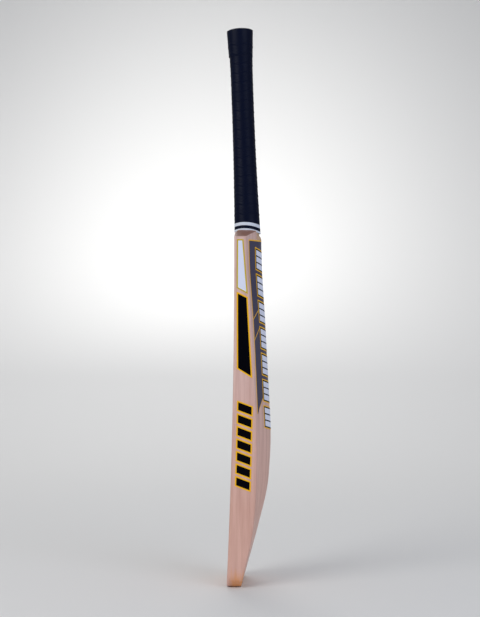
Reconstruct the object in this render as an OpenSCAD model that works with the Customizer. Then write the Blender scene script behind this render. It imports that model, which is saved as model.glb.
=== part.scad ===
// Full-size cricket bat standing on its toe.
// +Z runs up the bat, X is the width, the hitting face looks towards -Y and the spine towards +Y.
// The origin is the centre of the toe's flat end.

/* [Blade] */
// Width across the hitting face
blade_w = 108; // [96:1:108]
// Height of the corners where the flat edges end below the shoulders
shoulder_z = 531; // [529:1:535]
// Angle of the shoulders above horizontal
shoulder_slope = 19.3; // [15:0.1:24]
// Radius of the shoulder corners, seen from the front
shoulder_r = 5; // [3:0.5:10]
// Radius of the toe corners, seen from the front
toe_r = 20; // [10:1:30]
// Radius of the bow along the face
bow_r = 10750; // [9000:50:14000]
// Height at which the bowed face is upright
bow_z = 503; // [463:5:523]
// How far the face stands out along its middle
face_crown = 0.6; // [0.3:0.1:1.5]
// Rounding between the face and the edges
face_corner_r = 3; // [2:0.5:5]
// Rounding between the edges and the back
back_corner_r = 2.5; // [1.5:0.5:4]
// Rounding around the toe's flat end
toe_round = 1.5; // [0.5:0.5:3]

/* [Handle] */
// Overall length, toe to the top of the grip
bat_length = 860; // [845:1:880]
// Forward lean of the handle from upright
handle_lean = 2.08; // [1:0.02:3]
// Distance of the handle's axis from the bow's tangent plane, at the root
handle_set = 19; // [18:0.1:20]
// Length of the splice below the shoulder
splice_length = 150; // [120:1:165]
// Width of the splice at its blunt tip
splice_tip_w = 4; // [3:0.5:8]
// Width of one cane strip
cane_w = 12; // [10:0.5:13]
// Distance between the centres of the rubber sheets
sheet_pitch = 9; // [8:0.25:10]
// Thickness of the rubber sheets in the handle
sheet_t = 1.5; // [1:0.1:2]
// Thickness of the twine binding
binding_t = 0.6; // [0.4:0.1:1]

/* [Grip] */
// Thickness of the rubber sleeve
grip_t = 2; // [1.6:0.1:2.4]
// Height of the rolled top edge
grip_roll_r = 3; // [2.5:0.5:4]
// Width of the rolled top edge, from the side of the grip to the mouth
grip_roll_w = 12; // [9:0.5:12]
// Height of each band at the grip's lower end: white, navy, white
band_heights = [3, 5, 5];

/* [Labels] */
// Thickness of the labels
label_t = 0.25; // [0.2:0.05:0.5]
// Distance from the spine to the inner side of the navy panels
panel_inner_x = 29; // [29:0.5:32]
// Half the width of the block strip on the spine
strip_half_w = 28; // [24:0.5:28.5]

/* [Hidden] */
$fn = 60;
// Half the distance over which the stations below are averaged, which rounds their corners
blend_z = 20;
// Thickness of the edges: [height, thickness]
edge_stations = [[-37, 14.5], [78, 36.2], [133, 38.9], [193, 38.5], [233, 37.3], [393, 27.3],
                 [488, 19.2], [603, 16.4]];
// Depth at the spine: [height, depth]
spine_stations = [[-37, 13.5], [80, 41.6], [148, 56.3], [198, 58.4], [233, 58.6], [293, 54],
                  [343, 50.4], [407, 46.4], [470, 41.8], [503, 40.5], [603, 39.5]];
// Outer radius of the grip: [distance up the handle, radius]
grip_stations = [[-40, 21.6], [0, 20.3], [30, 19.2], [110, 17.6], [170, 17], [230, 17], [262, 17.2],
                 [278, 17.9], [300, 19.6], [330, 20.4]];
// Roundness of the spine: small values give a sharp ridge
ridge_s = 0.18;

root_z = shoulder_z + 13;
root_y = handle_set;
handle_len = (bat_length - root_z) / cos(handle_lean);
// Radius of the wood just under the grip's lower edge
neck_r = 18.3;
// Half the width of the splice at the shoulder, and of the flat on top of the shoulders inside it
splice_half_w = 18.6;
cap_half_w = 13;
wall_total = grip_t + binding_t;
// How far the round handle runs down into the splice
root_overlap = 14;
shoulder_rows = 8;
// How far the top of the shoulders falls away beside the handle, at the face and at the back
arch_front = 2.3;
arch_back = 5;

willow = "#c9a899";
cane = "#d9b98a";
gold = "#d9a520";
navy = "#2a2a48";
rubber = "#141a2c";
white = "#d4d8e6";
black = "#0a0a12";

// ---- the blade's surfaces ----

function smoothed(z, stations) =
    (lookup(z - blend_z, stations) + lookup(z, stations) + lookup(z + blend_z, stations)) / 3;
function face_y(z) = 0.4 - pow(z - bow_z, 2) / (2 * bow_r);
function edge_t(z) = smoothed(z, edge_stations);
function spine_d(z) = smoothed(z, spine_stations);
// 1 on the spine, 0 at the edges, with straight flanks and a rounded ridge
function ridge(t) = (sqrt(1 + pow(ridge_s, 2)) - sqrt(t * t + pow(ridge_s, 2)))
                  / (sqrt(1 + pow(ridge_s, 2)) - ridge_s);
function back_y(x, z) = face_y(z) + edge_t(z) + (spine_d(z) - edge_t(z)) * ridge(2 * abs(x) / blade_w);
function toe_half_w(z) = blade_w / 2 - toe_r + sqrt(pow(toe_r, 2) - pow(max(toe_r - z, 0), 2));
function toe_inset(z) = toe_round - sqrt(pow(toe_round, 2) - pow(max(toe_round - z, 0), 2));

// One point of a rounded corner of the section
function corner(x, y, r, a) = [x + r * cos(a), y + r * sin(a)];

// Half of a section: from the middle of the face, round the edge, to the spine
function half_section(hw, z, inset) =
    let (yf = face_y(z) + inset, w = hw - inset, yb = back_y(w - back_corner_r, z) - inset)
    concat(
        [[0, yf - face_crown], [w / 2, yf - face_crown * 0.7]],
        [for (a = [-90:30:0]) corner(w - face_corner_r, yf + face_corner_r, face_corner_r, a)],
        [for (a = [0:30:60]) corner(w - back_corner_r, yb - back_corner_r, back_corner_r, a)],
        [for (t = [1, 0.8, 0.6, 0.4, 0.25, 0.12, 0])
            [(w - back_corner_r) * t, back_y((w - back_corner_r) * t, z) - inset]]
    );

// Mirrors a half section into a closed ring, without doubling the two middle points
function ring(half) =
    concat(half, [for (i = [len(half) - 2:-1:1]) [-half[i][0], half[i][1]]]);

// Shoulder rows as [half width, height]: a rounded corner, then a straight slope to the cap
corner_w = blade_w / 2 - shoulder_r;
shoulder_arc = [for (a = [18:24:90 - shoulder_slope])
    [corner_w + shoulder_r * cos(a), shoulder_z + shoulder_r * sin(a)]];
slope_start = [corner_w + shoulder_r * sin(shoulder_slope), shoulder_z + shoulder_r * cos(shoulder_slope)];
slope_rows = [for (i = [0:shoulder_rows])
    let (x = slope_start[0] + (cap_half_w - slope_start[0]) * i / shoulder_rows)
    [x, slope_start[1] + (slope_start[0] - x) * tan(shoulder_slope)]];
shoulder = concat(shoulder_arc, slope_rows);
shoulder_top = shoulder[len(shoulder) - 1][1];

// Radius that the wood beside the handle keeps within: [height, radius]
neck_stations = [[shoulder_z, 22.5], [root_z - 5, 20.2], [root_z - 2.5, neck_r], [600, neck_r]];
// How much later the neck narrows at the face than at the back
neck_lag = 3;

// 0 beside the handle, 1 out on the shoulders
function out_on_shoulder(x) =
    let (t = min(max((abs(x) - neck_r) / 12, 0), 1)) t * t * (3 - 2 * t);

// Draws a point of the shoulder in towards the handle's axis, so that it passes under the grip
function necked(x, y, z) =
    let (v = y - root_y, r = sqrt(x * x + v * v),
         lag = neck_lag * (1 - v / handle_set) / 2,
         limit = lookup(z - lag, neck_stations) + 40 * out_on_shoulder(x))
    r > limit ? root_y + v * limit / r : y;

// How far the top of the shoulder falls away towards the face and the back
function arch_drop(y, z) =
    let (rise = min(max((z - shoulder_z) / (shoulder_top - shoulder_z), 0), 1),
         t = (y - root_y) / handle_set)
    rise * (t < 0 ? arch_front : arch_back) * t * t;

body_z = concat([0, 0.5, toe_round, 5, 9, 14, toe_r], [for (z = [34:14:520]) z], [shoulder_z]);

// The blade's outer shape from height z_low upward, before the splice is cut
module blade_envelope(z_low = 0)
{
    low_rows = [for (z = body_z) if (z >= z_low)
        [for (p = ring(half_section(toe_half_w(z), z, toe_inset(z)))) [p[0], p[1], z]]];
    top_rows = [for (s = shoulder)
        [for (p = ring(half_section(s[0], s[1], 0)))
            let (y = necked(p[0], p[1], s[1])) [p[0], y, s[1] - arch_drop(y, s[1])]]];
    rows = concat(low_rows, top_rows);
    n = len(rows[0]);
    m = len(rows);
    last = (m - 1) * n;
    apex = [0, root_y, shoulder_top];
    polyhedron(
        points = concat([for (r = rows) for (p = r) p], [apex]),
        faces = concat(
            [[for (i = [0:n - 1]) i]],
            [for (j = [0:m - 2]) for (i = [0:n - 1]) let (a = j * n + i, b = j * n + (i + 1) % n)
                each [[a, a + n, b], [b, a + n, b + n]]],
            [for (i = [0:n - 1]) [last + i, m * n, last + (i + 1) % n]]
        )
    );
}

// ---- the handle ----

module on_handle() { translate([0, root_y, root_z]) rotate([handle_lean, 0, 0]) children(); }

function grip_r(s) = smoothed(s, grip_stations);
function handle_r(s) = grip_r(s) - wall_total;

// A turned shape on the handle's axis between two distances up the handle
module turned(s_low, s_high, thickness = 0, core = false)
{
    steps = [for (i = [0:14]) s_low + (s_high - s_low) * i / 14];
    outer = [for (s = steps) [handle_r(s) + thickness, s]];
    inner = core ? [[0, s_high], [0, s_low]] : [for (i = [14:-1:0]) [handle_r(steps[i]), steps[i]]];
    rotate_extrude() polygon(concat(outer, inner));
}

// The wedge of the handle that is let into the blade
module splice_wedge()
{
    tip_z = shoulder_z - splice_length;
    rotate([90, 0, 0]) linear_extrude(140, center = true)
        polygon([[-splice_tip_w / 2, tip_z], [splice_tip_w / 2, tip_z],
                 [splice_half_w, root_z - 3], [splice_half_w, root_z + 8],
                 [-splice_half_w, root_z + 8], [-splice_half_w, root_z - 3]]);
}

cane_top = handle_len - 4.5;

module handle_solid()
{
    intersection() { splice_wedge(); blade_envelope(shoulder_z - splice_length - 30); }
    on_handle() turned(-root_overlap, cane_top, core = true);
}

// Everything between two distances behind the handle's axis, and between two in x
module handle_block(x_low, x_high, y_low, y_high)
{
    intersection()
    {
        handle_solid();
        on_handle() translate([x_low, y_low, -200]) cube([x_high - x_low, y_high - y_low, 600]);
    }
}

layer_edges = [-40, -sheet_pitch, 0, sheet_pitch, 40];
column_edges = [-40, -cane_w / 2, cane_w / 2, 40];

module cane_strip(layer, column)
{
    color(cane) handle_block(
        column_edges[column], column_edges[column + 1],
        layer_edges[layer] + (layer > 0 ? sheet_t / 2 : 0),
        layer_edges[layer + 1] - (layer < 3 ? sheet_t / 2 : 0));
}

module rubber_sheet(place)
{
    color(black) handle_block(-40, 40, layer_edges[place] - sheet_t / 2, layer_edges[place] + sheet_t / 2);
}

module twine_binding()
{
    color("#e8e2d0") on_handle() turned(6, cane_top, thickness = binding_t);
}

// ---- the grip ----

// Where the sleeve starts, up the handle from its root
grip_low = 1.5;
upper_band_low = grip_low + band_heights[0] + band_heights[1];
band_depth = 0.8;

module grip_sleeve()
{
    steps = [for (i = [0:30]) grip_low + (handle_len - grip_roll_r - grip_low) * i / 30];
    top_r = grip_r(handle_len);
    roll = [for (a = [15:15:90])
        [top_r - grip_roll_w + grip_roll_w * cos(a), handle_len - grip_roll_r + grip_roll_r * sin(a)]];
    mouth_r = top_r - grip_roll_w - 2;
    rotate_extrude() polygon(concat(
        [for (s = steps) [grip_r(s), s]],
        roll,
        [[mouth_r, handle_len], [mouth_r, cane_top], [handle_r(cane_top) + binding_t, cane_top]],
        [for (i = [29:-1:0]) [grip_r(steps[i]) - grip_t, steps[i]]]
    ));
}

// A ring around the sleeve, standing slightly proud of it
module band(s_low, s_high)
{
    rotate_extrude() polygon([
        [grip_r(s_low) - band_depth, s_low], [grip_r(s_low) + 0.15, s_low],
        [grip_r(s_high) + 0.15, s_high], [grip_r(s_high) - band_depth, s_high]
    ]);
}

module lower_band() { band(grip_low, grip_low + band_heights[0]); }
module upper_band() { band(upper_band_low, upper_band_low + band_heights[2]); }

module grip()
{
    color(rubber) difference()
    {
        on_handle() difference() { grip_sleeve(); lower_band(); upper_band(); }
        blade_envelope(500);
    }
}

module grip_band_upper() { color(white) on_handle() upper_band(); }
module grip_band_lower()
{
    color(white) difference() { on_handle() lower_band(); blade_envelope(500); }
}

// ---- the labels ----

// A flat plate on one edge of the blade from points [distance behind the face, height]
module edge_plate(side, points)
{
    mirror([side < 0 ? 1 : 0, 0, 0]) translate([blade_w / 2, 0, 0]) rotate([90, 0, 90])
        linear_extrude(label_t) polygon([for (p = points) [face_y(p[1]) + p[0], p[1]]]);
}

module edge_label_upper(side)
{
    color(white) edge_plate(side, [[4.2, 529], [14.1, 529], [20.5, 447.5], [3.8, 456.5]]);
}

module edge_label_middle(side)
{
    color(black) edge_plate(side, [[3.8, 451], [20.7, 441.5], [28.6, 320], [5.3, 334]]);
}

// How many marks there are, how tall each one is, and the gap between them
mark_count = 7;
mark_height = 16;
mark_gap = 3;
marks_top = 286;
// How much lower a mark is at the back than at the face
mark_slant = 9;
mark_near = 6.5;
mark_far = 31;

// Slanted bars of one size, one under the other
module edge_label_lower(side)
{
    for (i = [0:mark_count - 1])
    {
        top = marks_top - i * (mark_height + mark_gap);
        low = top - mark_height;
        color(black) edge_plate(side, [[mark_near, top], [mark_far, top - mark_slant],
                                       [mark_far, low - mark_slant], [mark_near, low]]);
    }
}

// A thin skin that follows the back, just clear of it, given as rows [height, x_low, x_high]
module back_skin(rows)
{
    cols = 8;
    gap = 0.15;
    n = cols + 1;
    m = len(rows);
    function at(j, i, lift) =
        let (z = rows[j][0], x = rows[j][1] + (rows[j][2] - rows[j][1]) * i / cols)
        [x, back_y(x, z) + lift, z];
    polyhedron(
        points = concat([for (j = [0:m - 1]) for (i = [0:cols]) at(j, i, gap)],
                        [for (j = [0:m - 1]) for (i = [0:cols]) at(j, i, gap + label_t)]),
        faces = concat(
            [for (j = [0:m - 2]) for (i = [0:cols - 1]) let (a = j * n + i, b = a + m * n)
                each [[a, a + 1, a + n], [a + 1, a + n + 1, a + n], [b, b + n, b + 1], [b + 1, b + n, b + n + 1]]],
            [for (j = [0:m - 2]) let (a = j * n, b = a + m * n, c = a + cols, d = b + cols)
                each [[a, a + n, b], [a + n, b + n, b], [c, d, c + n], [c + n, d, d + n]]],
            [for (i = [0:cols - 1]) let (a = i, b = i + m * n, c = (m - 1) * n + i, d = c + m * n)
                each [[a, b, a + 1], [a + 1, b, b + 1], [c, c + 1, d], [c + 1, d + 1, d]]]
        )
    );
}

panel_top = 530;
panel_low = 293;
panel_tip = 265;
panel_rows = 12;

// Outer side of the navy panels, which widens a little on the way down
function panel_outer(z) = 46.6 + 2.2 * (panel_top - z) / (panel_top - panel_tip);

module back_panel(side)
{
    long = [for (i = [0:panel_rows]) let (z = panel_top + (panel_low - panel_top) * i / panel_rows)
        [z, panel_inner_x, panel_outer(z)]];
    tip = [[panel_tip, panel_outer(panel_tip) - 1, panel_outer(panel_tip)]];
    color(navy) mirror([side < 0 ? 1 : 0, 0, 0]) back_skin(concat(long, tip));
}

strip_top = 517;
strip_low = 239;
block_count = 7;
block_gap = 5;

// White blocks down the spine
module back_block_strip()
{
    pitch = (strip_top - strip_low + block_gap) / block_count;
    for (i = [0:block_count - 1])
    {
        top = strip_top - i * pitch;
        low = top - pitch + block_gap;
        color(white) back_skin([for (k = [0:2]) [top + (low - top) * k / 2, -strip_half_w, strip_half_w]]);
    }
}

// ---- the blade with its splice ----

module blade()
{
    color(willow) difference() { blade_envelope(); splice_wedge(); }
}

blade();
cane_strip(0, 0);  // cane_face_left
cane_strip(0, 1);  // cane_face_middle
cane_strip(0, 2);  // cane_face_right
cane_strip(1, 0);  // cane_front_left
cane_strip(1, 1);  // cane_front_middle
cane_strip(1, 2);  // cane_front_right
cane_strip(2, 0);  // cane_rear_left
cane_strip(2, 1);  // cane_rear_middle
cane_strip(2, 2);  // cane_rear_right
cane_strip(3, 0);  // cane_back_left
cane_strip(3, 1);  // cane_back_middle
cane_strip(3, 2);  // cane_back_right
rubber_sheet(1);  // rubber_sheet_front
rubber_sheet(2);  // rubber_sheet_middle
rubber_sheet(3);  // rubber_sheet_rear
twine_binding();
grip();
grip_band_upper();
grip_band_lower();
edge_label_upper(1);  // edge_label_upper_right
edge_label_middle(1);  // edge_label_middle_right
edge_label_lower(1);  // edge_label_lower_right
edge_label_upper(-1);  // edge_label_upper_left
edge_label_middle(-1);  // edge_label_middle_left
edge_label_lower(-1);  // edge_label_lower_left
back_panel(1);  // back_panel_right
back_panel(-1);  // back_panel_left
back_block_strip();
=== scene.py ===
"""A full-size cricket bat on its toe: willow blade, cane handle, rubber grip and printed labels."""
import math

import bmesh
import bpy
from bpy.props import FloatProperty, FloatVectorProperty, IntProperty, PointerProperty
from bpy.types import Operator, Panel, PropertyGroup
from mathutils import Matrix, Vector


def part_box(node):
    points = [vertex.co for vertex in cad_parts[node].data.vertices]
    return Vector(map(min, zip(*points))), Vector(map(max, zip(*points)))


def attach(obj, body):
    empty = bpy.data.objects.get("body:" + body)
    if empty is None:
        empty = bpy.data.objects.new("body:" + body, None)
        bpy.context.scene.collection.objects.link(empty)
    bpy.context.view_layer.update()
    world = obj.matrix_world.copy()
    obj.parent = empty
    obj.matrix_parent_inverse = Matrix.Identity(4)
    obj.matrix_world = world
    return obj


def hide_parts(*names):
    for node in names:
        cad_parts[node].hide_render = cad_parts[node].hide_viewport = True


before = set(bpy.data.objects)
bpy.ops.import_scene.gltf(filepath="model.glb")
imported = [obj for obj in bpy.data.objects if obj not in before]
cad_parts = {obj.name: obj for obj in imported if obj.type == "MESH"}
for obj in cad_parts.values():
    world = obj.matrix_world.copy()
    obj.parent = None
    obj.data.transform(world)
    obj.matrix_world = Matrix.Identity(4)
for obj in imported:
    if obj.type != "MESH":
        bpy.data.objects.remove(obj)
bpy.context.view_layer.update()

bl_info = {
    "name": "Cricket Bat",
    "version": (1, 0, 0),
    "blender": (4, 5, 0),
    "location": "3D View > Sidebar > Bat",
    "description": "Models the looks of a cricket bat around its packed frame",
    "category": "Object",
}

MM = 0.001
BODY = "root"

BLADE_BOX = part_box("blade")
GRIP_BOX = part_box("grip")
BLADE_W = (BLADE_BOX[1][0] - BLADE_BOX[0][0]) / MM
BAT_TOP = GRIP_BOX[1][2] / MM


def linear(code):
    """An sRGB hex colour as linear red, green, blue and alpha."""
    parts = [int(code[i:i + 2], 16) / 255 for i in (1, 3, 5)]
    return tuple(c / 12.92 if c <= 0.04045 else ((c + 0.055) / 1.055) ** 2.4 for c in parts) + (1.0,)


def shade(name, code, text):
    """A colour property with its default given as a hex code."""
    return FloatVectorProperty(name=name, description=text, subtype="COLOR", size=4, min=0, max=1,
                               default=linear(code))


# ---------------------------------------------------------------- what a user would change


class BatBlade(PropertyGroup):
    """Shape and wood of the blade"""
    shoulder_z: FloatProperty(name="Shoulder height", default=531, min=500, max=545,
                              description="Height of the corners where the flat edges end, in millimetres")
    shoulder_slope: FloatProperty(name="Shoulder slope", default=math.radians(19.3), subtype="ANGLE",
                                  description="Angle of the shoulders above horizontal")
    toe_r: FloatProperty(name="Toe corner", default=20, min=5, max=30,
                         description="Radius of the toe corners seen from the front, in millimetres")
    ring_pitch: FloatProperty(name="Grain width", default=9.5, min=4, max=16,
                              description="Width of one annual ring on the face, in millimetres")
    pale: shade("Early wood", "#D7B7AE", "Colour of the wide pale part of each ring")
    deep: shade("Late wood", "#B1897E", "Colour of the narrow line that ends each ring")
    stain: shade("Stain", "#D48C48", "Colour of the heartwood stain at the toe")


class BatGrip(PropertyGroup):
    """Shape and rubber of the grip"""
    rib_pitch: FloatProperty(name="Rib group", default=14.5, min=8, max=25,
                             description="Length of one group of ribs along the handle, in millimetres")
    rib_height: FloatProperty(name="Rib height", default=0.5, min=0, max=1,
                              description="How far the ribs stand out, in millimetres")
    chevrons: IntProperty(name="Chevrons", default=4, min=2, max=8,
                          description="Number of chevron points round the grip")
    rubber: shade("Rubber", "#050B20", "Colour of the sleeve")
    band: shade("Bands", "#CBD0DA", "Colour of the two rings at the lower end")


class BatLabels(PropertyGroup):
    """Colours and borders of the printed labels"""
    border: FloatProperty(name="Border", default=2.0, min=0.5, max=4,
                          description="Width of the gold border, in millimetres")
    thickness: FloatProperty(name="Thickness", default=0.18, min=0.05, max=0.25,
                             description="Thickness of the vinyl, in millimetres")
    gold: shade("Gold", "#EBB006", "Colour of the borders")
    yellow: shade("Yellow", "#BFA51C", "Colour of the white edge labels' borders")
    white: shade("White", "#D3D7E8", "Colour of the white panels and blocks")
    navy: shade("Navy", "#33304C", "Colour of the panels on the back")
    black: shade("Black", "#030308", "Colour of the dark panels and marks")


class BatStage(PropertyGroup):
    """Camera and studio"""
    distance: FloatProperty(name="Camera distance", default=2.0, min=1, max=6, unit="LENGTH",
                            description="Distance of the camera from the bat")
    azimuth: FloatProperty(name="Azimuth", default=math.radians(92), subtype="ANGLE",
                           description="Direction of the camera round the bat")
    lens: FloatProperty(name="Lens", default=74.9, min=35, max=120, unit="CAMERA",
                        description="Focal length of the camera")
    paper: shade("Backdrop", "#DFDEDB", "Colour of the floor and the backdrop")


# ---------------------------------------------------------------- the blade's surfaces, in millimetres

HALF_W = BLADE_W / 2
# The face is an arc of this radius, lowest at this height, and is crowned across by this much
BOW_R, BOW_Z = 10750, 503
CROWN = 0.6
# Thickness of the edges and depth of the spine, as (height, size)
EDGE = [(-37, 14.5), (78, 36.2), (133, 38.9), (193, 38.5), (233, 37.3), (393, 27.3), (488, 19.2),
        (603, 16.4)]
SPINE = [(-37, 13.5), (80, 41.6), (148, 56.3), (198, 58.4), (233, 58.6), (293, 54), (343, 50.4),
         (407, 46.4), (470, 41.8), (503, 40.5), (603, 39.5)]
STATION_BLEND = 20
# Roundness of the spine: a small value gives a sharp ridge
RIDGE = 0.18
FACE_CORNER, BACK_CORNER, TOE_ROUND, SHOULDER_CORNER = 3, 2.5, 1.5, 5
# Where the handle's axis leaves the blade
ROOT_Z, ROOT_Y = 544, 19
# Radius of the wood under the grip's edge, and how much later it is reached at the face
NECK_R, NECK_LAG = 18.3, 3
# How far the shoulders' tops fall away towards the face and towards the back
ARCH_FACE, ARCH_BACK = 2.3, 5
CAP_HALF_W = 13
SPLICE_LENGTH, SPLICE_TIP, SPLICE_ROOT = 150, 2, 18.6
HANDLE_LEAN = math.radians(2.08)
# The tilted top stands this much above the handle's end
TILT_RISE = 0.5
HANDLE_LEN = (BAT_TOP - TILT_RISE - ROOT_Z) / math.cos(HANDLE_LEAN)


def lookup(z, stations):
    """Straight lines between stations, held level beyond their ends."""
    if z <= stations[0][0]:
        return stations[0][1]
    for (z0, v0), (z1, v1) in zip(stations, stations[1:]):
        if z <= z1:
            return v0 + (v1 - v0) * (z - z0) / (z1 - z0)
    return stations[-1][1]


def smoothed(z, stations):
    """The stations with their corners rounded by averaging over a short length."""
    steps = 8
    spread = [z + STATION_BLEND * (2 * k / steps - 1) for k in range(steps + 1)]
    return sum(lookup(s, stations) for s in spread) / (steps + 1)


def smoothstep(low, high, value):
    t = min(max((value - low) / (high - low), 0), 1)
    return t * t * (3 - 2 * t)


def face_y(z):
    return 0.4 - (z - BOW_Z) ** 2 / (2 * BOW_R)


def edge_t(z):
    return smoothed(z, EDGE)


def back_y(x, z):
    """The back: a rounded spine with nearly straight flanks down to the edges."""
    t, top = abs(x) / HALF_W, math.hypot(1, RIDGE)
    rise = (top - math.hypot(t, RIDGE)) / (top - RIDGE)
    edge = edge_t(z)
    return face_y(z) + edge + (smoothed(z, SPINE) - edge) * rise


def half_section(half_w, z, inset):
    """Points from the middle of the face, round the edge, to the spine."""
    y, w = face_y(z) + inset, half_w - inset
    flat, back = w - FACE_CORNER, w - BACK_CORNER
    points = [(flat * k / 10, y - CROWN * (1 - (k / 10) ** 2)) for k in range(10)]
    points += [(flat + FACE_CORNER * math.sin(a), y + FACE_CORNER * (1 - math.cos(a)))
               for a in (math.radians(90 * k / 8) for k in range(9))]
    top = back_y(back, z) - inset - BACK_CORNER
    points += [(w, y + FACE_CORNER + (top - y - FACE_CORNER) * k / 6) for k in range(1, 6)]
    points += [(back + BACK_CORNER * math.cos(a), top + BACK_CORNER * math.sin(a))
               for a in (math.radians(70 * k / 7) for k in range(8))]
    points += [(back * t, back_y(back * t, z) - inset) for t in (1 - (k / 28) for k in range(29))]
    return points


def neck_y(x, y, z):
    """Draws the wood beside the handle in, so that it passes under the grip."""
    v = y - ROOT_Y
    r = math.hypot(x, v)
    lag = NECK_LAG * (1 - v / ROOT_Y) / 2
    stations = [(ROOT_Z - 13, 22.5), (ROOT_Z - 5, 20.2), (ROOT_Z - 2.5, NECK_R), (600, NECK_R)]
    limit = lookup(z - lag, stations) + 40 * smoothstep(NECK_R, NECK_R + 12, abs(x))
    return ROOT_Y + v * limit / r if r > limit else y


def closed_ring(half):
    return half + [(-x, y) for x, y in half[-2:0:-1]]


def toe_rows(blade):
    """Rows of the toe and the body: height, half width and how far the surface is drawn in."""
    heights = [TOE_ROUND * (1 - math.cos(math.radians(15 * k))) for k in range(6)]
    heights += [blade.toe_r * (1 - math.cos(math.radians(a))) for a in range(26, 90, 6)]
    z = blade.toe_r
    count = 84
    heights += [z + (blade.shoulder_z - z) * k / count for k in range(count + 1)]
    for z in heights:
        cut = blade.toe_r - math.sqrt(blade.toe_r ** 2 - max(blade.toe_r - z, 0) ** 2)
        inset = TOE_ROUND - math.sqrt(TOE_ROUND ** 2 - max(TOE_ROUND - z, 0) ** 2)
        yield [(x, y, z) for x, y in closed_ring(half_section(HALF_W - cut, z, inset))]


def shoulder_rows(blade):
    """Rows of the shoulders: round the corner, then up the slope to the cap inside the splice."""
    r, slope = SHOULDER_CORNER, blade.shoulder_slope
    arc_x, base = HALF_W - r, blade.shoulder_z
    turn = math.pi / 2 - slope
    rows = [(arc_x + r * math.cos(turn * k / 8), base + r * math.sin(turn * k / 8)) for k in range(1, 9)]
    start_x, start_z = rows[-1]
    for k in range(1, 23):
        x = start_x + (CAP_HALF_W - start_x) * k / 22
        rows.append((x, start_z + (start_x - x) * math.tan(slope)))
    top = rows[-1][1]
    for half_w, z in rows:
        rise = (z - base) / (top - base)
        ring = []
        for x, y in closed_ring(half_section(half_w, z, 0)):
            y = neck_y(x, y, z)
            t = (y - ROOT_Y) / ROOT_Y
            ring.append((x, y, z - rise * (ARCH_FACE if t < 0 else ARCH_BACK) * t * t))
        yield ring


# ---------------------------------------------------------------- the handle's surfaces, in millimetres

# Outer radius of the grip, as (distance up the handle, radius)
GRIP_STATIONS = [(-40, 21.6), (0, 20.3), (30, 19.2), (110, 17.6), (170, 17), (230, 17), (262, 17.2),
                 (278, 17.9), (300, 19.6), (330, 20.4)]
GRIP_T, BINDING_T = 2.0, 0.6
# Height and width of the rolled top, and depth of its mouth down to the cane
ROLL_R, ROLL_W, MOUTH_DEPTH = 3, 12, 4.5
# Lower and upper end of each pale ring, up from the grip's lower edge
LOWER_BAND, UPPER_BAND = (0, 3), (8, 13)
# Where the thicker collar starts, how far it stands out and how long its step is
COLLAR_S, COLLAR_RISE, COLLAR_STEP = 272, 0.45, 1.5
# How far up the handle the arch of the lower edge fades out
ARCH_FADE = 45


def on_handle(across, out, up):
    """A point beside the leaning handle: across the bat, out towards the back, and up the handle."""
    c, s = math.cos(HANDLE_LEAN), math.sin(HANDLE_LEAN)
    return (across, ROOT_Y + out * c - up * s, ROOT_Z + out * s + up * c)


def grip_r(s):
    return smoothed(s, GRIP_STATIONS)


def arch(turn):
    """How far the grip's lower edge is shifted up the handle at each side of it."""
    out = math.sin(turn)
    return 2 - 2.2 * out - 3.5 * out * out


# ---------------------------------------------------------------- modelling helpers

MERGE_DISTANCE = 0.002 * MM


def deselect():
    if bpy.context.object and bpy.context.object.mode != "OBJECT":
        bpy.ops.object.mode_set(mode="OBJECT")
    bpy.ops.object.select_all(action="DESELECT")


def name_it(name):
    """Names the new piece and its mesh, and leaves it as the only one selected."""
    piece = bpy.context.object
    piece.name = piece.data.name = name
    return piece


def edit(piece, *steps):
    """Runs edit-mode operators on the whole of a piece."""
    bpy.context.view_layer.objects.active = piece
    bpy.ops.object.mode_set(mode="EDIT")
    bpy.ops.mesh.select_all(action="SELECT")
    for step in steps:
        step()
    bpy.ops.object.mode_set(mode="OBJECT")


def merge():
    bpy.ops.mesh.remove_doubles(threshold=MERGE_DISTANCE)


def outward():
    bpy.ops.mesh.normals_make_consistent(inside=False)


def rolled_grid(name, rings, closed=False):
    """A grid primitive rolled up through a list of rings of points in millimetres.

    With closed, the last ring is joined to the first, as on a sleeve with an inner wall.
    """
    around, rows = len(rings[0]), len(rings)
    steps = rows if closed else rows - 1
    deselect()
    bpy.ops.mesh.primitive_grid_add(x_subdivisions=around, y_subdivisions=steps, size=2)
    piece = name_it(name)
    for v in piece.data.vertices:
        i = round((v.co.x + 1) / 2 * around) % around
        j = round((v.co.y + 1) / 2 * steps) % rows
        v.co = Vector(rings[j][i]) * MM
    edit(piece, merge)
    return piece


def fill_ends(piece):
    """Closes the open ends of a rolled grid."""
    bpy.context.view_layer.objects.active = piece
    bpy.ops.object.mode_set(mode="EDIT")
    bpy.ops.mesh.select_mode(type="EDGE")
    bpy.ops.mesh.select_all(action="DESELECT")
    bpy.ops.mesh.select_non_manifold()
    bpy.ops.mesh.edge_face_add()
    bpy.ops.mesh.select_mode(type="FACE")
    bpy.ops.mesh.select_all(action="SELECT")
    outward()
    bpy.ops.object.mode_set(mode="OBJECT")


def smooth(piece, angle=32):
    deselect()
    piece.select_set(True)
    bpy.context.view_layer.objects.active = piece
    bpy.ops.object.shade_smooth_by_angle(angle=math.radians(angle))


def apply_modifier(piece, kind, **settings):
    """Adds a modifier with its settings and applies it."""
    deselect()
    piece.select_set(True)
    bpy.context.view_layer.objects.active = piece
    made = piece.modifiers.new(kind.lower(), kind)
    for key, value in settings.items():
        setattr(made, key, value)
    bpy.ops.object.modifier_apply(modifier=made.name)


def belongs(piece, slot, *nodes):
    """Ties a finished piece to the frame: its body and the nodes it stands for. The slot argument is not
    used.
    """
    if not piece.data.polygons:
        raise RuntimeError(piece.name + " has no faces")
    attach(piece, BODY)
    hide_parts(*nodes)


# ---------------------------------------------------------------- materials

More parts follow.
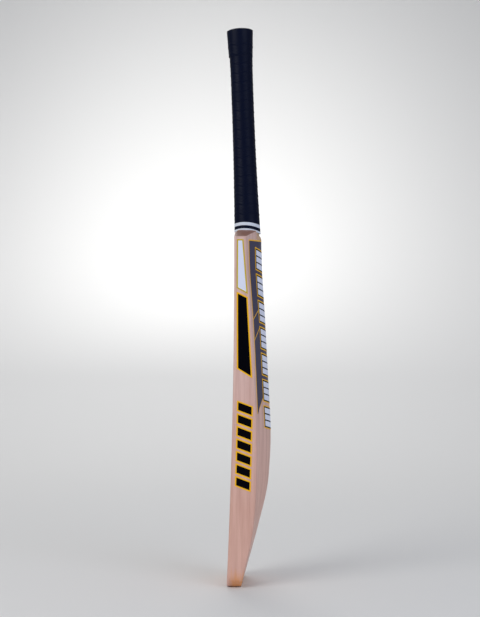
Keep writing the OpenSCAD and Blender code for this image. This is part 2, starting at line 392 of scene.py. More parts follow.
BUMP_DEPTH = 0.1 * MM


def add(tree, kind, inputs=None, **settings):
    """Adds a node with its settings, and sets or links its inputs."""
    made = tree.nodes.new(kind)
    for key, value in settings.items():
        setattr(made, key, value)
    for key, value in (inputs or {}).items():
        socket = made.inputs[key]
        if isinstance(value, bpy.types.NodeSocket):
            tree.links.new(value, socket)
        else:
            socket.default_value = value
    return made


def surface(name, **values):
    """A material with one Principled shader whose constant values are set on its own sockets."""
    material = bpy.data.materials.get(name)
    if material:
        return material, None, None
    material = bpy.data.materials.new(name)
    material.use_nodes = True
    tree = material.node_tree
    principled = tree.nodes["Principled BSDF"]
    for key, value in values.items():
        principled.inputs[key.replace("_", " ")].default_value = value
    return material, tree, principled


def ramp(tree, factor, stops, interpolation="LINEAR"):
    """A colour ramp through the given (place, colour) stops."""
    made = add(tree, "ShaderNodeValToRGB", {"Fac": factor})
    made.color_ramp.interpolation = interpolation
    elements = made.color_ramp.elements
    while len(elements) < len(stops):
        elements.new(0.5)
    for element, (place, colour) in zip(elements, stops):
        element.position = place
        element.color = colour
    return made.outputs["Color"]


def grey(value):
    return (value, value, value, 1)


def oiled_willow(blade):
    """Riven willow, sanded fine and oiled: straight pale grain on the face and the spine, broad figure
    on the edges, browner end grain that also holds painted shade, painted shade darkening the wood towards
    the toe, and an orange heartwood stain at the toe."""
    material, tree, principled = surface("oiled_willow", Roughness=0.4, IOR=1.5)
    if tree is None:
        return material
    place = add(tree, "ShaderNodeTexCoord").outputs["Object"]
    split = add(tree, "ShaderNodeSeparateXYZ", {0: place})
    # rings stand across the width; a slow drift bends them along the bat
    slow = add(tree, "ShaderNodeMapping", {"Vector": place, "Scale": (9, 9, 1.6)})
    drift = add(tree, "ShaderNodeTexNoise", {"Vector": slow.outputs[0], "Scale": 1.0, "Detail": 3.0,
                                             "Roughness": 0.5})
    drift_mm = add(tree, "ShaderNodeMath", {0: drift.outputs["Fac"], 1: 0.03}, operation="MULTIPLY")
    across = add(tree, "ShaderNodeMath", {0: split.outputs["X"], 1: drift_mm.outputs[0]}, operation="ADD")
    bent = add(tree, "ShaderNodeMath", {0: split.outputs["Y"], 1: 0.22, 2: across.outputs[0]},
               operation="MULTIPLY_ADD")
    count = add(tree, "ShaderNodeMath", {0: bent.outputs[0], 1: 1 / (blade.ring_pitch * MM)},
                operation="MULTIPLY")
    ring = add(tree, "ShaderNodeMath", {0: count.outputs[0]}, operation="FRACT")
    late = ramp(tree, ring.outputs[0], [(0.0, grey(0.12)), (0.6, grey(0.0)), (0.9, grey(1.0)),
                                        (1.0, grey(0.12))])
    # fibres 0.7 mm wide and 35 mm long, drawn coarser than real ones so that they show
    long_fibre = add(tree, "ShaderNodeMapping", {"Vector": place,
                                                 "Scale": (1 / 0.0007, 1 / 0.0007, 1 / 0.035)})
    fibre = add(tree, "ShaderNodeTexNoise", {"Vector": long_fibre.outputs[0], "Scale": 1.0, "Detail": 2.0,
                                             "Roughness": 0.6})
    # wide streaks of tone, 7 mm across and 150 mm long
    long_tone = add(tree, "ShaderNodeMapping", {"Vector": place, "Scale": (1 / 0.007, 1 / 0.007, 1 / 0.15)})
    tone = add(tree, "ShaderNodeTexNoise", {"Vector": long_tone.outputs[0], "Scale": 1.0, "Detail": 4.0,
                                            "Roughness": 0.55})
    mixed = add(tree, "ShaderNodeMath", {0: late, 1: 0.13}, operation="MULTIPLY")
    toned = add(tree, "ShaderNodeMath", {0: tone.outputs["Fac"], 1: 0.6, 2: mixed.outputs[0]},
                operation="MULTIPLY_ADD")
    streaked = add(tree, "ShaderNodeMath", {0: fibre.outputs["Fac"], 1: 0.3, 2: toned.outputs[0]},
                   operation="MULTIPLY_ADD")
    wood = ramp(tree, streaked.outputs[0], [(0.3, blade.pale), (0.75, blade.deep)])
    # painted shade: the wood is multiplied darker towards the toe, where less light falls
    height = add(tree, "ShaderNodeMapRange", {0: split.outputs["Z"], 1: 0.36, 2: 0.12})
    painted_toe_shade = add(tree, "ShaderNodeMix", {"Factor": height.outputs[0], 6: wood, 7: linear("#FFF0E6")},
                  data_type="RGBA", blend_type="MULTIPLY")
    wood = painted_toe_shade.outputs[2]
    # end grain, where the surface faces up or down, drawn darker brown: partly the wood's own end grain,
    # partly painted shade such as the shade under the grip on the shoulders
    normal = add(tree, "ShaderNodeNewGeometry").outputs["Normal"]
    facing = add(tree, "ShaderNodeSeparateXYZ", {0: normal})
    upright = add(tree, "ShaderNodeMath", {0: facing.outputs["Z"]}, operation="ABSOLUTE")
    end_grain_shade_mask = ramp(tree, upright.outputs[0], [(0.86, grey(0)), (0.94, grey(1))])
    end_grain_and_shade = add(tree, "ShaderNodeMix", {"Factor": end_grain_shade_mask, 6: wood, 7: linear("#8E6250")},
                data_type="RGBA")
    # heartwood stain: low on the bat, away from the face
    stain_noise = add(tree, "ShaderNodeTexNoise", {"Vector": long_tone.outputs[0], "Scale": 2.2,
                                                   "Detail": 3.0})
    raised = add(tree, "ShaderNodeMath", {0: stain_noise.outputs["Fac"], 1: -0.036, 2: split.outputs["Z"]},
                 operation="MULTIPLY_ADD")
    height_mask = add(tree, "ShaderNodeMapRange", {0: raised.outputs[0], 1: -0.014, 2: 0.012})
    low = ramp(tree, height_mask.outputs[0], [(0.0, grey(1)), (1.0, grey(0))])
    behind = add(tree, "ShaderNodeMapRange", {0: split.outputs["Y"], 1: -0.009, 2: -0.001}).outputs[0]
    stain_mask = add(tree, "ShaderNodeMath", {0: low, 1: behind}, operation="MULTIPLY")
    weak = add(tree, "ShaderNodeMath", {0: stain_mask.outputs[0], 1: 0.9}, operation="MULTIPLY")
    stained = add(tree, "ShaderNodeMix", {"Factor": weak.outputs[0], 6: end_grain_and_shade.outputs[2], 7: blade.stain},
                  data_type="RGBA")
    tree.links.new(stained.outputs[2], principled.inputs["Base Color"])
    bump = add(tree, "ShaderNodeBump", {"Height": streaked.outputs[0], "Strength": 0.25,
                                        "Distance": BUMP_DEPTH})
    tree.links.new(bump.outputs[0], principled.inputs["Normal"])
    return material


def split_cane():
    """Split rattan cane, glued and turned: honey-coloured, with fine dark pores running along it."""
    material, tree, principled = surface("split_cane", Roughness=0.5, IOR=1.5)
    if tree is None:
        return material
    place = add(tree, "ShaderNodeTexCoord").outputs["Object"]
    # pores 1.1 mm apart, wider than real ones, seen as dots on the end and as lines along the side
    pores = add(tree, "ShaderNodeMapping", {"Vector": place, "Scale": (1 / 0.0011, 1 / 0.0011, 1 / 0.06)})
    dots = add(tree, "ShaderNodeTexVoronoi", {"Vector": pores.outputs[0], "Scale": 1.0})
    cane = ramp(tree, dots.outputs["Distance"], [(0.1, linear("#8A6A4E")), (0.35, linear("#BD9A7C")),
                                                 (0.8, linear("#CBAB8E"))])
    tree.links.new(cane, principled.inputs["Base Color"])
    bump = add(tree, "ShaderNodeBump", {"Height": dots.outputs["Distance"], "Strength": 0.3,
                                        "Distance": BUMP_DEPTH})
    tree.links.new(bump.outputs[0], principled.inputs["Normal"])
    return material


def moulded_rubber(name, colour, roughness=0.38):
    """Moulded natural rubber: a soft sheen broken up by a fine matt texture from the mould."""
    material, tree, principled = surface(name, Base_Color=colour, IOR=1.52, Specular_IOR_Level=0.06)
    if tree is None:
        return material
    place = add(tree, "ShaderNodeTexCoord").outputs["Object"]
    # mould texture with a 0.6 mm grain
    grain = add(tree, "ShaderNodeTexNoise", {"Vector": place, "Scale": 1 / 0.0006, "Detail": 2.0})
    # handling marks 15 mm across, which change the sheen
    marks = add(tree, "ShaderNodeTexNoise", {"Vector": place, "Scale": 1 / 0.015, "Detail": 3.0})
    dull = add(tree, "ShaderNodeMapRange", {0: marks.outputs["Fac"], 1: 0.3, 2: 0.7, 3: roughness - 0.06,
                                            4: roughness + 0.1})
    tree.links.new(dull.outputs[0], principled.inputs["Roughness"])
    bump = add(tree, "ShaderNodeBump", {"Height": grain.outputs["Fac"], "Strength": 0.35,
                                        "Distance": BUMP_DEPTH})
    tree.links.new(bump.outputs[0], principled.inputs["Normal"])
    return material


def waxed_twine():
    """Waxed linen thread wound tightly round the cane."""
    material, tree, principled = surface("waxed_twine", Roughness=0.6)
    if tree is None:
        return material
    place = add(tree, "ShaderNodeTexCoord").outputs["Object"]
    # strands twisted 0.8 mm apart, coarser than real ones
    strand = add(tree, "ShaderNodeTexNoise", {"Vector": place, "Scale": 1 / 0.0008, "Detail": 3.0})
    thread = ramp(tree, strand.outputs["Fac"], [(0.3, linear("#B7A98C")), (0.7, linear("#E6DDC6"))])
    tree.links.new(thread, principled.inputs["Base Color"])
    return material


def printed_vinyl(name, colour, gloss=0.3):
    """Screen-printed vinyl under a clear laminate: a smooth skin with a faint ripple from the wood."""
    material, tree, principled = surface(name, Base_Color=colour, Roughness=0.36, IOR=1.5,
                                         Specular_IOR_Level=gloss)
    if tree is None:
        return material
    place = add(tree, "ShaderNodeTexCoord").outputs["Object"]
    # the wood's grain shows through as ripples 1.2 mm wide and 40 mm long
    long_way = add(tree, "ShaderNodeMapping", {"Vector": place,
                                               "Scale": (1 / 0.0012, 1 / 0.0012, 1 / 0.04)})
    ripple = add(tree, "ShaderNodeTexNoise", {"Vector": long_way.outputs[0], "Scale": 1.0, "Detail": 2.0})
    bump = add(tree, "ShaderNodeBump", {"Height": ripple.outputs["Fac"], "Strength": 0.15,
                                        "Distance": BUMP_DEPTH})
    tree.links.new(bump.outputs[0], principled.inputs["Normal"])
    return material


def label_inks(labels):
    """The inks of the labels, in the order that the faces number them."""
    return [printed_vinyl("gold_ink", labels.gold), printed_vinyl("white_ink", labels.white),
            printed_vinyl("black_ink", labels.black, 0.03), printed_vinyl("navy_ink", labels.navy),
            printed_vinyl("yellow_ink", labels.yellow)]


GOLD, WHITE, BLACK, NAVY, YELLOW = range(5)


# ---------------------------------------------------------------- pieces


class BAT_OT_blade(Operator):
    """Models the willow blade with the socket for its splice"""
    bl_idname = "bat.blade"
    bl_label = "Blade"

    def execute(self, context):
        blade = context.scene.bat_blade
        piece = rolled_grid("willow_blade", list(toe_rows(blade)) + list(shoulder_rows(blade)))
        fill_ends(piece)
        wedge = self.splice_wedge(blade)
        apply_modifier(piece, "BOOLEAN", operation="DIFFERENCE", object=wedge, solver="EXACT")
        bpy.data.objects.remove(wedge)
        smooth(piece, 30)
        piece.data.materials.clear()
        piece.data.materials.append(oiled_willow(blade))
        belongs(piece, "willow", "blade")
        return {"FINISHED"}

    def splice_wedge(self, blade):
        """A cube drawn out into the wedge that the handle's splice fills, with a hair of glue gap."""
        glue, past_blade, cap_room = 0.12, 90, 15
        low, high = blade.shoulder_z - SPLICE_LENGTH - glue, ROOT_Z - 3
        deselect()
        bpy.ops.mesh.primitive_cube_add(size=2)
        wedge = name_it("splice_wedge")
        for v in wedge.data.vertices:
            half_w = (SPLICE_ROOT if v.co.z > 0 else SPLICE_TIP) + glue
            v.co = Vector((v.co.x * half_w, v.co.y * past_blade, high if v.co.z > 0 else low)) * MM
        bpy.context.view_layer.objects.active = wedge
        bpy.ops.object.mode_set(mode="EDIT")
        bpy.ops.mesh.select_mode(type="FACE")
        bpy.ops.mesh.select_all(action="DESELECT")
        shape = bmesh.from_edit_mesh(wedge.data)
        for face in shape.faces:
            face.select_set(face.normal.z > 0.9)
        bmesh.update_edit_mesh(wedge.data)
        bpy.ops.mesh.extrude_region_move(TRANSFORM_OT_translate={"value": (0, 0, cap_room * MM)})
        bpy.ops.object.mode_set(mode="OBJECT")
        return wedge


class BAT_OT_handle(Operator):
    """Gives the cane strips and rubber sheets of the handle their finish and winds the twine"""
    bl_idname = "bat.handle"
    bl_label = "Handle"

    def execute(self, context):
        cane = split_cane()
        rubber = moulded_rubber("cushion_sheet_rubber", linear("#17171A"), 0.6)
        for name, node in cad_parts.items():
            if name.startswith("cane_"):
                self.finish(node, cane)
            elif name.startswith("rubber_sheet_"):
                self.finish(node, rubber)
        self.winding()
        return {"FINISHED"}

    def finish(self, node, material):
        for slot in node.material_slots:
            slot.material = material

    def winding(self):
        """One thread wound from the shoulder to the top, each turn a rounded ridge."""
        turn_mm, rows_per_turn, around, inner_rows = 2.0, 4, 28, 26
        low, high = 6.0, HANDLE_LEN - MOUTH_DEPTH - 0.1
        groove, ridge_rise, lining = 0.08, BINDING_T - 0.12, 0.02
        rows = int((high - low) / turn_mm) * rows_per_turn
        rings = []
        for j in range(rows + 1):
            s = low + (high - low) * j / rows
            core = grip_r(s) - GRIP_T - BINDING_T
            ring = []
            for i in range(around):
                a = 2 * math.pi * i / around
                ridge = abs(math.cos(math.pi * (s / turn_mm - i / around)))
                r = core + groove + ridge_rise * ridge
                ring.append(on_handle(r * math.cos(a), r * math.sin(a), s))
            rings.append(ring)
        turns = [2 * math.pi * i / around for i in range(around)]
        for j in range(inner_rows + 1):
            s = high + (low - high) * j / inner_rows
            core = grip_r(s) - GRIP_T - BINDING_T + lining
            rings.append([on_handle(core * math.cos(a), core * math.sin(a), s) for a in turns])
        piece = rolled_grid("twine_winding", rings, closed=True)
        edit(piece, outward)
        smooth(piece, 50)
        piece.data.materials.clear()
        piece.data.materials.append(waxed_twine())
        belongs(piece, "twine", "twine_binding")


class BAT_OT_grip(Operator):
    """Moulds the ribbed rubber sleeve with its rolled top"""
    bl_idname = "bat.grip"
    bl_label = "Grip"

    AROUND, ROLL_STEPS = 120, 12
    # Start of the outside and the length of its rows, fine enough for the ribs
    OUT_START, OUT_STEP = 0.6, 0.62
    # Gap between the sleeve's inside and the twine
    LINING = 0.02

    def execute(self, context):
        grip = context.scene.bat_grip
        top_r = grip_r(HANDLE_LEN)
        roll_s = HANDLE_LEN - ROLL_R
        rings = [self.sleeve_ring(h, grip) for h in self.spread(self.OUT_START, roll_s, self.OUT_STEP)]
        for k in range(1, self.ROLL_STEPS + 1):
            a = math.radians(90 * k / self.ROLL_STEPS)
            r = top_r - ROLL_W + ROLL_W * math.cos(a)
            rings.append(self.plain_ring(r, roll_s + ROLL_R * math.sin(a)))
        # the lip of the mouth, its wall, and the underside of the rolled top
        mouth_r, under = top_r - ROLL_W - 2, HANDLE_LEN - MOUTH_DEPTH
        for r, s in ((mouth_r + 0.8, HANDLE_LEN), (mouth_r + 0.2, HANDLE_LEN - 0.3),
                     (mouth_r, HANDLE_LEN - 0.9), (mouth_r, under), (grip_r(under) - GRIP_T, under)):
            rings.append(self.plain_ring(r, s))
        for s in self.spread(under - 8, 12, 10):
            rings.append(self.plain_ring(grip_r(s) - GRIP_T + self.LINING, s))
        # the arched lower edge, from the inside to the outside
        for lift, h in ((-GRIP_T + self.LINING, 0.9), (-GRIP_T + self.LINING, 0.3), (-GRIP_T + 0.5, 0.0),
                        (-0.5, 0.0), (-0.12, 0.15)):
            rings.append(self.low_ring(lift, h))
        piece = rolled_grid("grip_sleeve", rings, closed=True)
        edit(piece, outward)
        smooth(piece, 60)
        piece.data.materials.clear()
        piece.data.materials.append(moulded_rubber("dark_moulded_rubber", grip.rubber))
        belongs(piece, "grip_rubber", "grip")
        return {"FINISHED"}

    def spread(self, first, last, step):
        count = max(1, round(abs(last - first) / step))
        return [first + (last - first) * k / count for k in range(count + 1)]

    def plain_ring(self, r, s):
        return [on_handle(r * math.cos(a), r * math.sin(a), s) for a in self.turns()]

    def turns(self):
        return [2 * math.pi * i / self.AROUND for i in range(self.AROUND)]

    def low_ring(self, lift, h):
        """A ring near the arched lower edge, h up from it."""
        ring = []
        for a in self.turns():
            s = h + arch(a)
            r = grip_r(s) + lift
            ring.append(on_handle(r * math.cos(a), r * math.sin(a), s))
        return ring

    def sleeve_ring(self, h, grip):
        """One ring of the outside: the arch fades out up the handle and the ribs stand on it."""
        ring = []
        fade = 1 - smoothstep(0, ARCH_FADE, h)
        for a in self.turns():
            s = h + arch(a) * fade
            r = grip_r(s) + self.relief(a, s, h, grip)
            if s > COLLAR_S:
                step = smoothstep(COLLAR_S, COLLAR_S + COLLAR_STEP, s)
                r += COLLAR_RISE * (1 - math.sin(a)) * step
            ring.append(on_handle(r * math.cos(a), r * math.sin(a), s))
        return ring

    def relief(self, a, s, h, grip):
        """Chevron ribs: a wide rib and three fine ones in each group."""
        point = abs((a / (2 * math.pi) * grip.chevrons) % 1 - 0.5) * 2
        t = (s + point * 5.0) % grip.rib_pitch
        wide = self.bump(t, 2.4, 2.4)
        fine = max(self.bump(t, c, 0.85) for c in (6.6, 9.0, 11.4)) * 0.6
        room = smoothstep(15, 22, h) * (1 - smoothstep(HANDLE_LEN - 26, HANDLE_LEN - 16, s))
        return grip.rib_height * max(wide, fine) * room

    def bump(self, t, centre, half):
        d = abs(t - centre) / half
        return (1 - d * d) ** 2 if d < 1 else 0


class BAT_OT_bands(Operator):
    """Moulds the two pale rings at the grip's lower end"""
    bl_idname = "bat.bands"
    bl_label = "Bands"

    def execute(self, context):
        grip = context.scene.bat_grip
        rubber = moulded_rubber("pale_moulded_rubber", grip.band, 0.55)
        for name, ends in (("grip_band_lower", LOWER_BAND), ("grip_band_upper", UPPER_BAND)):
            piece = self.band("ring_" + name, *ends)
            piece.data.materials.clear()
            piece.data.materials.append(rubber)
            belongs(piece, "band_rubber", name)
        return {"FINISHED"}

    def band(self, name, low, high):
        proud, rounded, sunk, around = 0.16, 0.4, -0.3, 120
        lip = proud - 0.06
        outline = [(sunk, low), (lip, low), (proud, low + rounded), (proud, (low + high) / 2),
                   (proud, high - rounded), (lip, high), (sunk, high)]
        rings = []
        for lift, h in outline:
            fade = 1 - smoothstep(0, ARCH_FADE, h)
            ring = []
            for i in range(around):
                a = 2 * math.pi * i / around
                s = h + arch(a) * fade
                r = grip_r(s) + lift
                ring.append(on_handle(r * math.cos(a), r * math.sin(a), s))
            rings.append(ring)
        piece = rolled_grid(name, rings, closed=True)
        edit(piece, outward)
        smooth(piece, 50)
        return piece


class BAT_OT_edge_labels(Operator):
    """Sticks the printed labels on both edges"""
    bl_idname = "bat.edge_labels"
    bl_label = "Edge labels"

    # Corners are (behind the face, height), in millimetres
    UPPER = [(4.2, 530.4), (14.1, 530.4), (20.8, 447.2), (3.8, 456.3)]
    MIDDLE = [(3.8, 451.1), (20.8, 442.6), (29.1, 319.4), (5.3, 334)]
    BAR_COUNT, BAR_HEIGHT, BAR_GAP, BARS_TOP = 7, 16, 3, 286
    BAR_NEAR, BAR_FAR, BAR_SLANT = 6.5, 31, 9

    def execute(self, context):
        labels = context.scene.bat_labels
        for side, word in ((1, "right"), (-1, "left")):
            self.label("edge_label_upper_" + word, side, [self.UPPER], labels, WHITE, YELLOW,
                       "label_white")
            self.label("edge_label_middle_" + word, side, [self.MIDDLE], labels, BLACK, GOLD,
                       "label_black")
            self.label("edge_label_lower_" + word, side, self.bars(), labels, BLACK, GOLD, "label_black")
        return {"FINISHED"}

    def bars(self):
        """Slanted bars of one size, one under the other."""
        outlines = []
        for i in range(self.BAR_COUNT):
            top = self.BARS_TOP - i * (self.BAR_HEIGHT + self.BAR_GAP)
            low = top - self.BAR_HEIGHT
            outlines.append([(self.BAR_NEAR, top), (self.BAR_FAR, top - self.BAR_SLANT),
                             (self.BAR_FAR, low - self.BAR_SLANT), (self.BAR_NEAR, low)])
        return outlines

    def label(self, node, side, outlines, labels, fill, rim, slot):
        parts = [self.sheet(outline, labels, fill, rim) for outline in outlines]
        deselect()
        for part in parts:
            part.select_set(True)
        bpy.context.view_layer.objects.active = parts[0]
        if len(parts) > 1:
            bpy.ops.object.join()
        piece = name_it("vinyl_" + node)
        for v in piece.data.vertices:
            v.co.x = side * (HALF_W * MM + v.co.x)
        edit(piece, outward)
        belongs(piece, slot, node)

    def sheet(self, outline, labels, fill, rim):
        """A circle primitive pulled into the outline, bordered by an inset and thickened."""
        deselect()
        bpy.ops.mesh.primitive_circle_add(vertices=len(outline), fill_type="NGON", radius=0.01)
        part = name_it("vinyl_part")
        for v, (behind, z) in zip(part.data.vertices, outline):
            v.co = Vector((0.03, face_y(z) + behind, z)) * MM
        for ink in label_inks(labels):
            part.data.materials.append(ink)
        part.data.polygons[0].material_index = rim
        bpy.ops.object.mode_set(mode="EDIT")
        bpy.ops.mesh.select_mode(type="FACE")
        bpy.ops.mesh.select_all(action="SELECT")
        outward()
        bpy.ops.mesh.inset(thickness=labels.border * MM, depth=0)
        part.active_material_index = fill
        bpy.ops.object.material_slot_assign()
        bpy.ops.mesh.select_all(action="SELECT")
        bpy.ops.mesh.extrude_region_move(TRANSFORM_OT_translate={"value": (labels.thickness * MM, 0, 0)})
        bpy.ops.object.mode_set(mode="OBJECT")
        return part


# Thickness of the back's vinyl, and how far each layer lies off the wood
SHEET_T = 0.08
PANEL_LIFT, DIAGONAL_LIFT, BLOCK_LIFT = 0.04, 0.14, 0.24


def back_sheet(name, across, lines, place, ink, lift, labels):
    """A grid primitive draped on the back: place turns a grid place into x and z, ink picks its colour."""
    deselect()
    bpy.ops.mesh.primitive_grid_add(x_subdivisions=across, y_subdivisions=lines, size=2)
    piece = name_it(name)
    mesh = piece.data
    for material in label_inks(labels):
        mesh.materials.append(material)
    spots = {}
    for v in mesh.vertices:
        i, j = round((v.co.x + 1) / 2 * across), round((v.co.y + 1) / 2 * lines)
        spots[v.index] = (i, j)
        x, z = place(i, j)
        v.co = Vector((x, back_y(x, z) + lift, z)) * MM
    for face in mesh.polygons:
        corners = [spots[k] for k in face.vertices]
        face.material_index = ink(min(c[0] for c in corners), min(c[1] for c in corners))
    return piece


def joined(name, parts):
    """Several sheets joined into one piece and given their thickness, outwards from the wood."""
    for part in parts:
        edit(part, outward)
        if sum(face.normal.y for face in part.data.polygons) < 0:
            edit(part, bpy.ops.mesh.flip_normals)
    deselect()
    for part in parts:
        part.select_set(True)
    bpy.context.view_layer.objects.active = parts[0]
    if len(parts) > 1:
        bpy.ops.object.join()
    piece = name_it(name)
    apply_modifier(piece, "SOLIDIFY", thickness=SHEET_T * MM, offset=1, use_rim=True)
    edit(piece, outward)
    smooth(piece, 30)
    return piece


class BAT_OT_back_labels(Operator):
    """Drapes the navy panels and the strip of striped blocks over the back"""
    bl_idname = "bat.back_labels"
    bl_label = "Back labels"

    PANEL_TOP, PANEL_LOW, PANEL_TIP = 530.5, 287, 265
    PANEL_OUTER, PANEL_FLARE = 46.6, 2.2
    PANEL_BORDER, TOP_BORDER = 1.5, 1.8
    STRIP_TOP, STRIP_LOW, BLOCK_COUNT, BLOCK_GAP, STRIP_HALF_W = 517, 239, 7, 5, 28
    OUTLINE, RULE, STRIPES = 1.7, 2.0, 3
    CHEVRON = 0.22
    DIAGONALS = ((409, 424), (377, 397))

    def execute(self, context):
        labels = context.scene.bat_labels
        for side, word in ((1, "right"), (-1, "left")):
            parts = [self.panel(side, labels)]
            parts += [self.diagonal(side, low, high, labels) for low, high in self.DIAGONALS]
            belongs(joined("vinyl_back_panel_" + word, parts), "label_navy", "back_panel_" + word)
        pitch = (self.STRIP_TOP - self.STRIP_LOW + self.BLOCK_GAP) / self.BLOCK_COUNT
        tops = [self.STRIP_TOP - k * pitch for k in range(self.BLOCK_COUNT)]
        blocks = [self.block(top, pitch - self.BLOCK_GAP, labels) for top in tops]
        belongs(joined("vinyl_back_blocks", blocks), "label_white", "back_block_strip")
        return {"FINISHED"}

    def panel_outer(self, z):
        """Distance from the spine to a panel's outer side."""
        down = (self.PANEL_TOP - z) / (self.PANEL_TOP - self.PANEL_TIP)
        return self.PANEL_OUTER + self.PANEL_FLARE * down

    def panel(self, side, labels):
        """One navy panel from the spine to its gold border, ending in a slanted tip."""
        long_rows, tip_rows, across = 58, 6, 11
        first = self.PANEL_TOP - self.TOP_BORDER
        heights = [self.PANEL_TOP] + [first + (self.PANEL_LOW - first) * k / long_rows
                                      for k in range(long_rows + 1)]
        heights += [self.PANEL_LOW + (self.PANEL_TIP - self.PANEL_LOW) * k / tip_rows
                    for k in range(1, tip_rows + 1)]

        def place(i, j):
            z = heights[j]
            outer = self.panel_outer(z)
            reach = outer - self.PANEL_BORDER
            if z < self.PANEL_LOW:
                down = (self.PANEL_LOW - z) / (self.PANEL_LOW - self.PANEL_TIP)
                inner = self.STRIP_HALF_W + (reach - self.STRIP_HALF_W - 0.5) * down
            else:
                inner = self.STRIP_HALF_W * smoothstep(self.PANEL_LOW + 6, self.PANEL_LOW, z)
            if i == across:
                return side * outer, z
            if i == 0:
                return side * inner, z
            start = inner + self.PANEL_BORDER * (1 if inner > 0 and reach - inner > 4 else 0)
            return side * (start + (reach - start) * max(i - 1, 0.02) / (across - 2)), z

        def ink(i, j):
            if i == across - 1 or j == 0 or (i == 0 and heights[j + 1] <= self.PANEL_LOW + 6):
                return GOLD
            return NAVY

        return back_sheet("panel", across, len(heights) - 1, place, ink, PANEL_LIFT, labels)

    def diagonal(self, side, low, high, labels):
        """A thin gold line that climbs across a panel from its border to the strip."""
        width, across = 1.6, 8

        def place(i, j):
            t = i / across
            outer = self.panel_outer(low) - 0.5
            return side * (outer + (self.STRIP_HALF_W - 1 - outer) * t), low + (high - low) * t - width * j

        return back_sheet("diagonal", across, 1, place, lambda i, j: GOLD, DIAGONAL_LIFT, labels)

    def block(self, top, length, labels):
        """A chevron block: white stripes ruled in black, with a black and a gold outline."""
        w, inner = self.STRIP_HALF_W, self.STRIP_HALF_W - self.OUTLINE - self.RULE
        half = 8
        steps = [inner * k / half for k in range(-half, half + 1)]
        xs = [-w, -w + self.OUTLINE] + steps + [w - self.OUTLINE, w]
        edge = self.OUTLINE + self.RULE
        stripe = (length - 2 * edge - (self.STRIPES - 1) * self.RULE) / self.STRIPES
        downs, inks = [0, self.OUTLINE, edge], [GOLD, BLACK]
        for k in range(self.STRIPES):
            downs.append(downs[-1] + stripe)
            inks.append(WHITE)
            downs.append(downs[-1] + self.RULE)
            inks.append(BLACK)
        downs.append(length)
        inks.append(GOLD)
        across = len(xs) - 1

        def place(i, j):
            return xs[i], top - downs[j] + self.CHEVRON * (abs(xs[i]) - w / 2)

        def ink(i, j):
            if i in (0, across - 1):
                return GOLD
            if i in (1, across - 2) and inks[j] == WHITE:
                return BLACK
            return inks[j]

        return back_sheet("block", across, len(downs) - 1, place, ink, BLOCK_LIFT, labels)


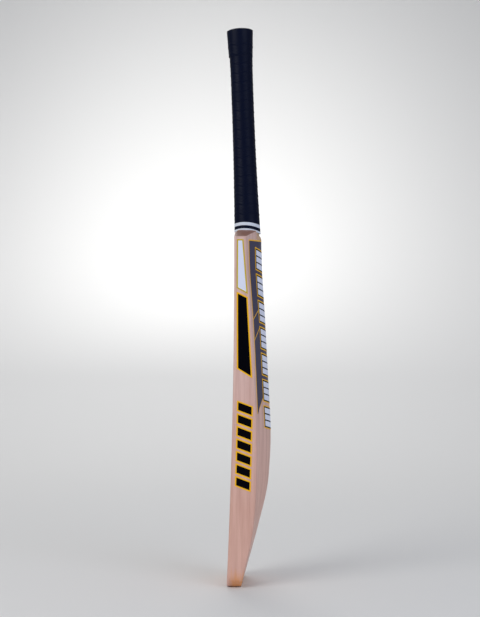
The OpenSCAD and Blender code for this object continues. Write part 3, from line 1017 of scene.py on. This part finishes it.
class BAT_OT_stage(Operator):
    """Sets up the floor, the backdrop, the lights and the camera"""
    bl_idname = "bat.stage"
    bl_label = "Stage"

    WALL_X, FRONT_X, HALF_WIDTH, WALL_H, CURVE = -3.8, 7.0, 7.0, 5.0, 2.6
    AIM, SENSOR = (0, 0.0074, 0.4253), 36
    # Name, place, aim, diameter, watts and colour. Two soft lamps light the bat from both sides of the
    # camera, and two light the paper behind it.
    LAMPS = (
        ("key_light", (1.5, -1.7, 1.3), (0, 0, 0.45), 1.7, 28, "#FFFFFF"),
        ("fill_light", (1.7, 1.6, 0.9), (0, 0, 0.4), 2.0, 22, "#E4EDFF"),
        ("backdrop_light", (-2.2, -0.25, 1.2), (-3.6, -0.25, 1.2), 0.7, 6, "#FFFFFF"),
        ("floor_light", (-1.9, -0.2, 2.2), (-2.1, -0.2, 0), 1.6, 22, "#FFFFFF"),
    )
    ROOM_COLOUR, ROOM_STRENGTH, FAR_COLOUR = "#EEF1FA", 0.42, "#919294"

    def execute(self, context):
        stage = context.scene.bat_stage
        self.sweep(stage)
        self.camera(stage)
        for lamp in self.LAMPS:
            self.light(*lamp)
        self.world()
        context.scene.view_settings.view_transform = "Standard"
        return {"FINISHED"}

    def world(self):
        """A dim room, seen by the camera as the grey of the paper far from the lamps."""
        world = bpy.data.worlds.new("studio")
        bpy.context.scene.world = world
        world.use_nodes = True
        tree = world.node_tree
        room = tree.nodes["Background"]
        room.inputs["Color"].default_value = linear(self.ROOM_COLOUR)
        room.inputs["Strength"].default_value = self.ROOM_STRENGTH
        seen = add(tree, "ShaderNodeBackground", {"Color": linear(self.FAR_COLOUR), "Strength": 1.0})
        camera_ray = add(tree, "ShaderNodeLightPath").outputs["Is Camera Ray"]
        mixed = add(tree, "ShaderNodeMixShader", {0: camera_ray, 1: room.outputs[0], 2: seen.outputs[0]})
        tree.links.new(mixed.outputs[0], tree.nodes["World Output"].inputs["Surface"])

    def sweep(self, stage):
        """A sheet of paper that lies on the floor and curves up behind the bat."""
        deselect()
        bpy.ops.mesh.primitive_plane_add(size=2)
        paper = name_it("paper_sweep")
        for v in paper.data.vertices:
            v.co = Vector((self.FRONT_X if v.co.x > 0 else self.WALL_X, self.HALF_WIDTH * v.co.y, 0))
        self.pick_back_edge(paper)
        bpy.ops.mesh.extrude_region_move(TRANSFORM_OT_translate={"value": (0, 0, self.WALL_H)})
        bpy.ops.object.mode_set(mode="OBJECT")
        self.pick_back_edge(paper)
        bpy.ops.mesh.bevel(offset=self.CURVE, segments=24, affect="EDGES")
        bpy.ops.object.mode_set(mode="OBJECT")
        smooth(paper, 60)
        # uncoated studio paper: matt, pale and even
        material, _, _ = surface("backdrop_paper", Base_Color=stage.paper, Roughness=0.9)
        paper.data.materials.append(material)

    def pick_back_edge(self, paper):
        """Selects the edge where the floor ends, in edit mode."""
        bpy.context.view_layer.objects.active = paper
        bpy.ops.object.mode_set(mode="EDIT")
        bpy.ops.mesh.select_mode(type="EDGE")
        bpy.ops.mesh.select_all(action="DESELECT")
        shape = bmesh.from_edit_mesh(paper.data)
        for edge in shape.edges:
            edge.select_set(all(v.co.x < 0 and v.co.z < 0.1 for v in edge.verts))
        bmesh.update_edit_mesh(paper.data)

    def camera(self, stage):
        aim = Vector(self.AIM)
        a = stage.azimuth
        place = aim + Vector((math.sin(a), -math.cos(a), 0)) * stage.distance
        bpy.ops.object.camera_add(location=place)
        camera = bpy.context.object
        camera.name = "camera"
        camera.data.lens = stage.lens
        camera.data.sensor_width = self.SENSOR
        camera.rotation_euler = (aim - place).to_track_quat("-Z", "Y").to_euler()
        bpy.context.scene.camera = camera

    def light(self, name, place, aim, size, watts, tint):
        bpy.ops.object.light_add(type="AREA", location=place)
        lamp = bpy.context.object
        lamp.name = name
        lamp.data.shape = "DISK"
        lamp.data.size = size
        lamp.data.energy = watts
        lamp.data.color = linear(tint)[:3]
        lamp.rotation_euler = (Vector(aim) - Vector(place)).to_track_quat("-Z", "Y").to_euler()
        lamp.visible_camera = False


class BAT_PT_panel(Panel):
    """Lists the bat's pieces"""
    bl_label = "Cricket Bat"
    bl_idname = "BAT_PT_panel"
    bl_space_type = "VIEW_3D"
    bl_region_type = "UI"
    bl_category = "Bat"

    def draw(self, context):
        scene = context.scene
        for group in (scene.bat_blade, scene.bat_grip, scene.bat_labels, scene.bat_stage):
            box = self.layout.box()
            for key in group.__annotations__:
                box.prop(group, key)
        for operator in OPERATORS:
            self.layout.operator(operator.bl_idname)


GROUPS = {"bat_blade": BatBlade, "bat_grip": BatGrip, "bat_labels": BatLabels, "bat_stage": BatStage}
OPERATORS = (BAT_OT_blade, BAT_OT_handle, BAT_OT_grip, BAT_OT_bands, BAT_OT_edge_labels,
             BAT_OT_back_labels, BAT_OT_stage)


def register():
    for cls in (*GROUPS.values(), *OPERATORS, BAT_PT_panel):
        bpy.utils.register_class(cls)
    for key, cls in GROUPS.items():
        setattr(bpy.types.Scene, key, PointerProperty(type=cls))


def unregister():
    for key in GROUPS:
        delattr(bpy.types.Scene, key)
    for cls in (BAT_PT_panel, *reversed(OPERATORS), *reversed(list(GROUPS.values()))):
        bpy.utils.unregister_class(cls)


def main():
    register()
    bpy.ops.bat.blade()
    bpy.ops.bat.handle()
    bpy.ops.bat.grip()
    bpy.ops.bat.bands()
    bpy.ops.bat.edge_labels()
    bpy.ops.bat.back_labels()
    bpy.ops.bat.stage()


if __name__ == "__main__":
    main()
